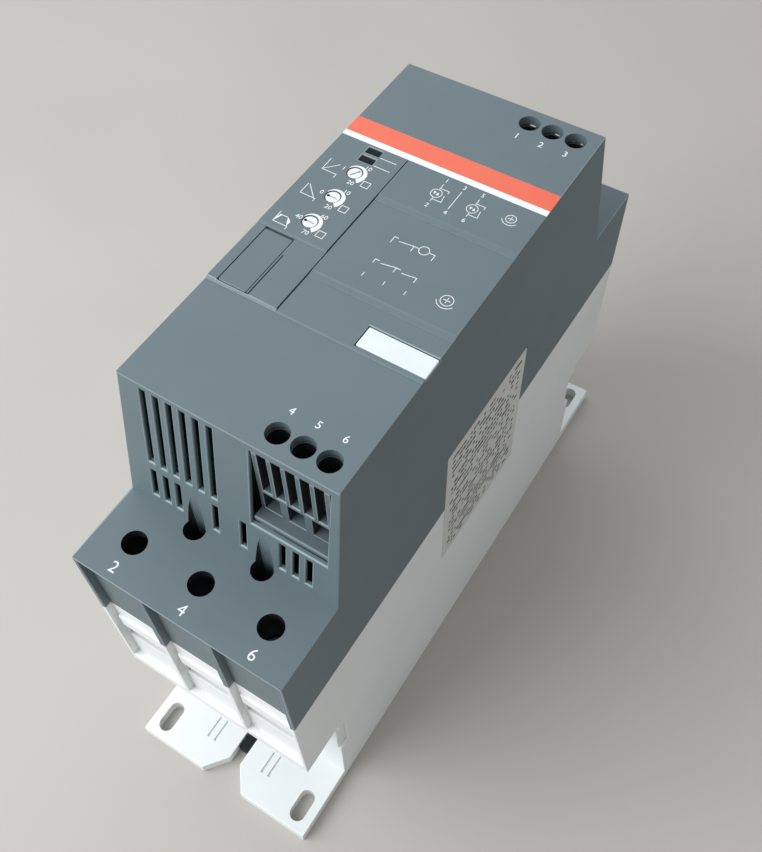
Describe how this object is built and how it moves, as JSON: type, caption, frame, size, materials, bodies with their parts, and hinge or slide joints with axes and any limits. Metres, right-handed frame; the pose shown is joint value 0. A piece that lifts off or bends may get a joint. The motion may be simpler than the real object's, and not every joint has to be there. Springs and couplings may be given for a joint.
{
  "type": "soft starter",
  "caption": "Compact soft starter for a three-phase motor: light grey base with slotted feet, dark stepped cover, power clamps behind cable windows, setting knobs and a colour band.",
  "frame": {"origin": "middle of the mounting face of the base, on the plane of the wall it is screwed to", "axes": "+Z out of the mounting plane towards the front face, +Y along the length to the line end, +X across the width"},
  "size_m": [0.07, 0.22, 0.177],
  "materials": {
    "cover_plastic": "moulded, fine grained",
    "base_plastic": "moulded, satin",
    "black_anodised": "black anodised extrusion",
    "circuit_board": "solder mask",
    "terminal_plastic": "moulded",
    "plated_contact": "tin plated",
    "copper": "tin-free copper bar",
    "laminate": "phenolic",
    "module_plastic": "moulded",
    "relay_plastic": "moulded",
    "zinc_steel": "zinc plated",
    "clamp_steel": "yellow passivated zinc",
    "pot_plastic": "moulded",
    "lamp_lens": "cast",
    "dark_lens": "smoked lens",
    "black_plastic": "moulded",
    "band_film": "printed film",
    "white_film": "printed film",
    "tag_plastic": "moulded",
    "label_film": "silver film",
    "knob_plastic": "moulded"
  },
  "bodies": {
    "root": {"base_housing": "base_plastic", "load_housing": "base_plastic", "line_housing": "base_plastic", "front_cover": "cover_plastic", "heat_sink": "black_anodised", "control_board": "circuit_board", "control_block_load": "terminal_plastic", "control_block_line": "terminal_plastic", "control_contacts": "plated_contact", "load_bar_1": "copper", "load_bar_3": "copper", "line_bar_1": "copper", "line_bar_3": "copper", "link_bars": "copper", "through_bar": "copper", "through_bar_stand": "laminate", "thyristor_module_1": "module_plastic", "thyristor_module_3": "module_plastic", "bypass_relay_1": "relay_plastic", "bypass_relay_3": "relay_plastic", "bar_screws": "zinc_steel", "sink_screws": "zinc_steel", "cover_screws": "zinc_steel", "board_screws": "zinc_steel", "setting_pots": "pot_plastic", "indicator_lamps": "lamp_lens", "light_pipes": "dark_lens", "plug_socket": "black_plastic", "colour_band": "band_film", "white_line": "white_film", "marker_tag": "tag_plastic", "rating_label": "label_film"},
    "knob_1": {"knob_1": "knob_plastic"},
    "knob_2": {"knob_2": "knob_plastic"},
    "knob_3": {"knob_3": "knob_plastic"},
    "port_lid": {"port_lid": "cover_plastic"},
    "load_screw_1": {"load_screw_1": "zinc_steel"},
    "load_clamp_1": {"load_clamp_1": "clamp_steel"},
    "load_control_screw_1": {"load_control_screw_1": "zinc_steel"},
    "load_control_clamp_1": {"load_control_clamp_1": "clamp_steel"},
    "load_screw_2": {"load_screw_2": "zinc_steel"},
    "load_clamp_2": {"load_clamp_2": "clamp_steel"},
    "load_control_screw_2": {"load_control_screw_2": "zinc_steel"},
    "load_control_clamp_2": {"load_control_clamp_2": "clamp_steel"},
    "load_screw_3": {"load_screw_3": "zinc_steel"},
    "load_clamp_3": {"load_clamp_3": "clamp_steel"},
    "load_control_screw_3": {"load_control_screw_3": "zinc_steel"},
    "load_control_clamp_3": {"load_control_clamp_3": "clamp_steel"},
    "line_screw_1": {"line_screw_1": "zinc_steel"},
    "line_clamp_1": {"line_clamp_1": "clamp_steel"},
    "line_control_screw_1": {"line_control_screw_1": "zinc_steel"},
    "line_control_clamp_1": {"line_control_clamp_1": "clamp_steel"},
    "line_screw_2": {"line_screw_2": "zinc_steel"},
    "line_clamp_2": {"line_clamp_2": "clamp_steel"},
    "line_control_screw_2": {"line_control_screw_2": "zinc_steel"},
    "line_control_clamp_2": {"line_control_clamp_2": "clamp_steel"},
    "line_screw_3": {"line_screw_3": "zinc_steel"},
    "line_clamp_3": {"line_clamp_3": "clamp_steel"},
    "line_control_screw_3": {"line_control_screw_3": "zinc_steel"},
    "line_control_clamp_3": {"line_control_clamp_3": "clamp_steel"}
  },
  "joints": [
    {"name": "knob_1_turn", "type": "hinge", "parent": "root", "child": "knob_1", "pos_m": [-0.021, 0.0197, 0.176], "axis": [0, 0, -1], "range_deg": [-124, 146]},
    {"name": "knob_2_turn", "type": "hinge", "parent": "root", "child": "knob_2", "pos_m": [-0.021, 0.0084, 0.176], "axis": [0, 0, -1], "range_deg": [0, 270]},
    {"name": "knob_3_turn", "type": "hinge", "parent": "root", "child": "knob_3", "pos_m": [-0.021, -0.0029, 0.176], "axis": [0, 0, -1], "range_deg": [0, 270]},
    {"name": "port_lid_swing", "type": "hinge", "parent": "root", "child": "port_lid", "pos_m": [-0.0256, -0.0114, 0.1757], "axis": [-1, 0, 0], "range_deg": [0, 90]},
    {"name": "load_screw_1_turn", "type": "hinge", "parent": "root", "child": "load_screw_1", "pos_m": [-0.023, -0.0905, 0.1013], "axis": [0, 0, -1], "range_deg": [0, 2304]},
    {"name": "load_clamp_1_lift", "type": "slide", "parent": "root", "child": "load_clamp_1", "axis": [0, 0, 1], "range_m": [0, 0.00801]},
    {"name": "load_control_screw_1_turn", "type": "hinge", "parent": "root", "child": "load_control_screw_1", "pos_m": [0.0117, -0.064, 0.1586], "axis": [0, 0, -1], "range_deg": [0, 2260]},
    {"name": "load_control_clamp_1_lift", "type": "slide", "parent": "root", "child": "load_control_clamp_1", "axis": [0, 0, 1], "range_m": [0, 0.0028]},
    {"name": "load_screw_2_turn", "type": "hinge", "parent": "root", "child": "load_screw_2", "pos_m": [0, -0.0905, 0.1013], "axis": [0, 0, -1], "range_deg": [0, 2304]},
    {"name": "load_clamp_2_lift", "type": "slide", "parent": "root", "child": "load_clamp_2", "axis": [0, 0, 1], "range_m": [0, 0.00801]},
    {"name": "load_control_screw_2_turn", "type": "hinge", "parent": "root", "child": "load_control_screw_2", "pos_m": [0.0192, -0.064, 0.1586], "axis": [0, 0, -1], "range_deg": [0, 2260]},
    {"name": "load_control_clamp_2_lift", "type": "slide", "parent": "root", "child": "load_control_clamp_2", "axis": [0, 0, 1], "range_m": [0, 0.0028]},
    {"name": "load_screw_3_turn", "type": "hinge", "parent": "root", "child": "load_screw_3", "pos_m": [0.023, -0.0905, 0.1013], "axis": [0, 0, -1], "range_deg": [0, 2304]},
    {"name": "load_clamp_3_lift", "type": "slide", "parent": "root", "child": "load_clamp_3", "axis": [0, 0, 1], "range_m": [0, 0.00801]},
    {"name": "load_control_screw_3_turn", "type": "hinge", "parent": "root", "child": "load_control_screw_3", "pos_m": [0.0267, -0.064, 0.1586], "axis": [0, 0, -1], "range_deg": [0, 2260]},
    {"name": "load_control_clamp_3_lift", "type": "slide", "parent": "root", "child": "load_control_clamp_3", "axis": [0, 0, 1], "range_m": [0, 0.0028]},
    {"name": "line_screw_1_turn", "type": "hinge", "parent": "root", "child": "line_screw_1", "pos_m": [-0.023, 0.0905, 0.1013], "axis": [0, 0, -1], "range_deg": [0, 2304]},
    {"name": "line_clamp_1_lift", "type": "slide", "parent": "root", "child": "line_clamp_1", "axis": [0, 0, 1], "range_m": [0, 0.00801]},
    {"name": "line_control_screw_1_turn", "type": "hinge", "parent": "root", "child": "line_control_screw_1", "pos_m": [0.0117, 0.064, 0.1586], "axis": [0, 0, -1], "range_deg": [0, 2260]},
    {"name": "line_control_clamp_1_lift", "type": "slide", "parent": "root", "child": "line_control_clamp_1", "axis": [0, 0, 1], "range_m": [0, 0.0028]},
    {"name": "line_screw_2_turn", "type": "hinge", "parent": "root", "child": "line_screw_2", "pos_m": [0, 0.0905, 0.1013], "axis": [0, 0, -1], "range_deg": [0, 2304]},
    {"name": "line_clamp_2_lift", "type": "slide", "parent": "root", "child": "line_clamp_2", "axis": [0, 0, 1], "range_m": [0, 0.00801]},
    {"name": "line_control_screw_2_turn", "type": "hinge", "parent": "root", "child": "line_control_screw_2", "pos_m": [0.0192, 0.064, 0.1586], "axis": [0, 0, -1], "range_deg": [0, 2260]},
    {"name": "line_control_clamp_2_lift", "type": "slide", "parent": "root", "child": "line_control_clamp_2", "axis": [0, 0, 1], "range_m": [0, 0.0028]},
    {"name": "line_screw_3_turn", "type": "hinge", "parent": "root", "child": "line_screw_3", "pos_m": [0.023, 0.0905, 0.1013], "axis": [0, 0, -1], "range_deg": [0, 2304]},
    {"name": "line_clamp_3_lift", "type": "slide", "parent": "root", "child": "line_clamp_3", "axis": [0, 0, 1], "range_m": [0, 0.00801]},
    {"name": "line_control_screw_3_turn", "type": "hinge", "parent": "root", "child": "line_control_screw_3", "pos_m": [0.0267, 0.064, 0.1586], "axis": [0, 0, -1], "range_deg": [0, 2260]},
    {"name": "line_control_clamp_3_lift", "type": "slide", "parent": "root", "child": "line_control_clamp_3", "axis": [0, 0, 1], "range_m": [0, 0.0028]}
  ],
  "couplings": [
    {"joint": "load_clamp_1_lift", "follows": "load_screw_1_turn", "m_per_rad": 0.00019894},
    {"joint": "load_control_screw_1_turn", "follows": "load_control_clamp_1_lift", "rad_per_m": 13963},
    {"joint": "load_clamp_2_lift", "follows": "load_screw_2_turn", "m_per_rad": 0.00019894},
    {"joint": "load_control_screw_2_turn", "follows": "load_control_clamp_2_lift", "rad_per_m": 13963},
    {"joint": "load_clamp_3_lift", "follows": "load_screw_3_turn", "m_per_rad": 0.00019894},
    {"joint": "load_control_screw_3_turn", "follows": "load_control_clamp_3_lift", "rad_per_m": 13963},
    {"joint": "line_clamp_1_lift", "follows": "line_screw_1_turn", "m_per_rad": 0.00019894},
    {"joint": "line_control_screw_1_turn", "follows": "line_control_clamp_1_lift", "rad_per_m": 13963},
    {"joint": "line_clamp_2_lift", "follows": "line_screw_2_turn", "m_per_rad": 0.00019894},
    {"joint": "line_control_screw_2_turn", "follows": "line_control_clamp_2_lift", "rad_per_m": 13963},
    {"joint": "line_clamp_3_lift", "follows": "line_screw_3_turn", "m_per_rad": 0.00019894},
    {"joint": "line_control_screw_3_turn", "follows": "line_control_clamp_3_lift", "rad_per_m": 13963}
  ]
}
